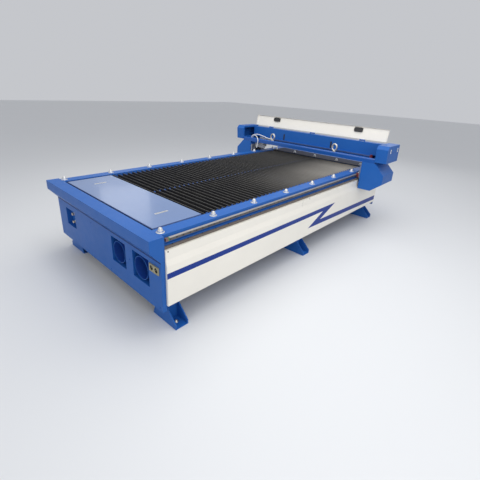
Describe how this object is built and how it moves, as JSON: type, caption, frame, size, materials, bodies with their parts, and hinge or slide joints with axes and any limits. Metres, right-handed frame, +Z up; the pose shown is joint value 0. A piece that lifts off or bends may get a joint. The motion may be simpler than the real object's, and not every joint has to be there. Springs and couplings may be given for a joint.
{
  "type": "fiber laser cutting machine",
  "caption": "Flat-bed laser cutting machine with a slatted table, ball rests, side rails, a travelling gantry with a lid, and a cutting head.",
  "frame": {"origin": "centre of the machine's plan box, on the floor", "axes": "+X to the right seen from the end with the exhaust ports, +Y along the table away from that end, +Z up"},
  "size_m": [2.568, 4.04, 1.3595],
  "materials": {
    "blue_paint": "satin enamel",
    "glossy_blue_paint": "glossy enamel",
    "scaled_steel": "dark, scaled and dull",
    "zinc": "zinc plated",
    "beige_plastic": "matte",
    "cream_paint": "satin enamel",
    "ground_steel": "ground",
    "rack_steel": "oiled brown steel",
    "black_plastic": "matte",
    "motor_black": "matt black paint",
    "grey_metal": "anodised grey",
    "brass": "turned",
    "white_tube": "smooth tube"
  },
  "bodies": {
    "table": {"side_beam_right": "blue_paint", "side_beam_left": "blue_paint", "leg_near_right": "blue_paint", "leg_near_left": "blue_paint", "leg_middle_right": "blue_paint", "leg_middle_left": "blue_paint", "leg_far_right": "blue_paint", "leg_far_left": "blue_paint", "cross_tube_near": "blue_paint", "cross_tube_middle": "blue_paint", "cross_tube_far": "blue_paint", "slag_tray": "scaled_steel", "end_hood": "blue_paint", "end_panel": "blue_paint", "exhaust_duct_inner": "blue_paint", "exhaust_duct_outer": "blue_paint", "gas_fitting_upper": "zinc", "gas_fitting_lower": "zinc", "socket_plate": "beige_plastic", "cover_plate": "glossy_blue_paint", "slat_bed": "scaled_steel", "side_comb_right": "blue_paint", "side_comb_left": "blue_paint", "rear_deck": "blue_paint", "rear_cover": "blue_paint", "side_panel_right": "cream_paint", "side_panel_left": "cream_paint", "y_rail_right": "ground_steel", "y_rail_left": "ground_steel", "y_rack_right": "rack_steel", "y_rack_left": "rack_steel"},
    "gantry": {"gantry_upright_right": "blue_paint", "gantry_upright_left": "blue_paint", "end_box_right": "blue_paint", "end_box_left": "blue_paint", "front_beam": "glossy_blue_paint", "rear_beam": "blue_paint", "back_wall": "blue_paint", "lifting_eye_right": "zinc", "lifting_eye_left": "zinc", "y_carriage_right": "ground_steel", "y_carriage_left": "ground_steel", "y_motor_right": "motor_black", "y_motor_left": "motor_black", "x_rail_lower": "ground_steel", "x_rail_upper": "ground_steel", "x_rack": "rack_steel", "hose_long": "white_tube", "hose_short": "white_tube"},
    "lid_body": {"lid": "cream_paint", "lid_grip_right": "black_plastic", "lid_grip_left": "black_plastic"},
    "drive_pinion_right": {"y_pinion_right": "rack_steel"},
    "drive_pinion_left": {"y_pinion_left": "rack_steel"},
    "cross_carriage": {"x_carriage": "grey_metal", "x_motor": "motor_black", "z_motor": "motor_black"},
    "cross_pinion": {"x_pinion": "rack_steel"},
    "head": {"laser_head": "grey_metal", "nozzle": "brass"}
  },
  "joints": [
    {"name": "gantry_travel", "type": "slide", "parent": "table", "child": "gantry", "axis": [0, 1, 0], "range_m": [-2.95, 0.2]},
    {"name": "pinion_right_spin", "type": "hinge", "parent": "gantry", "child": "drive_pinion_right", "pos_m": [0.9825, 1.348, 0.705], "axis": [0, 0, 1], "range_deg": [-4300, 320]},
    {"name": "pinion_left_spin", "type": "hinge", "parent": "gantry", "child": "drive_pinion_left", "pos_m": [-0.9825, 1.348, 0.705], "axis": [0, 0, 1], "range_deg": [-320, 4300]},
    {"name": "lid_hinge", "type": "hinge", "parent": "gantry", "child": "lid_body", "pos_m": [0, 1.475, 1.185], "axis": [1, 0, 0], "range_deg": [0, 101.5]},
    {"name": "cross_travel", "type": "slide", "parent": "gantry", "child": "cross_carriage", "axis": [1, 0, 0], "range_m": [0, 1.66]},
    {"name": "cross_pinion_spin", "type": "hinge", "parent": "cross_carriage", "child": "cross_pinion", "pos_m": [-0.908, 1.3935, 0.9505], "axis": [0, 1, 0], "range_deg": [-7700, 60]},
    {"name": "head_lift", "type": "slide", "parent": "cross_carriage", "child": "head", "axis": [0, 0, 1], "range_m": [-0.042, 0.06]}
  ],
  "couplings": [
    {"joint": "pinion_right_spin", "follows": "gantry_travel", "rad_per_m": 25},
    {"joint": "pinion_left_spin", "follows": "gantry_travel", "rad_per_m": -25},
    {"joint": "cross_pinion_spin", "follows": "cross_travel", "rad_per_m": -80}
  ]
}
